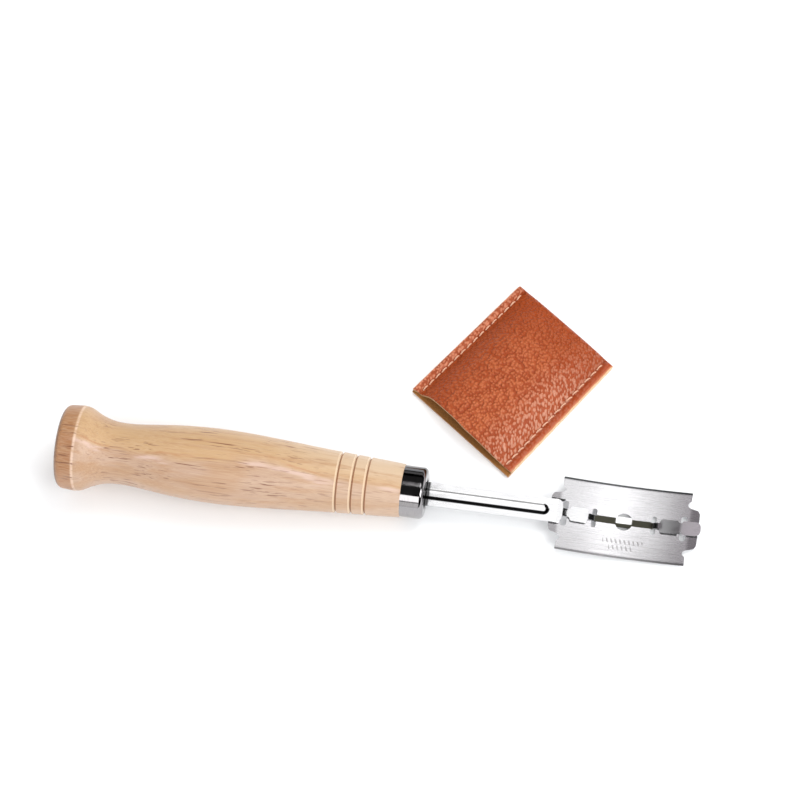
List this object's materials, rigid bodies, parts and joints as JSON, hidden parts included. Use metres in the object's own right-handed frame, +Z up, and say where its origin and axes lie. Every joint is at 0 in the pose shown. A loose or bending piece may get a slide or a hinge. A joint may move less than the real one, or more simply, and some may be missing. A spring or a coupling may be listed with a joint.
{
  "type": "bread lame",
  "caption": "Bread lame: turned wooden handle, chromed ferrule, stamped steel holder with a bowed razor blade on its notched tongue, and a stitched leather blade cover.",
  "frame": {"origin": "on the table, under the centre of the box round the lame and its cover", "axes": "+X along the lame from butt to blade tip, +Y towards the cover, +Z up from the table"},
  "size_m": [0.188, 0.0818, 0.0264],
  "materials": {
    "wood": "sanded, satin clear coat",
    "chrome": "polished",
    "steel": "bright stamped strip, fine brushed blade",
    "leather": "pebbled grain, satin",
    "thread": "waxed thread",
    "adhesive": "cured epoxy"
  },
  "bodies": {
    "lame": {"handle": "wood", "ferrule": "chrome", "holder": "steel", "tang_adhesive": "adhesive", "blade": "steel"},
    "cover": {"cover_leather": "leather", "seam_left_upper_thread": "thread", "seam_left_under_thread": "thread", "seam_right_upper_thread": "thread", "seam_right_under_thread": "thread"}
  },
  "joints": [
    {"name": "cover_slide", "type": "slide", "parent": "lame", "child": "cover", "axis": [0.5835, 0.8121, 0], "range_m": [0, 0.045]}
  ]
}
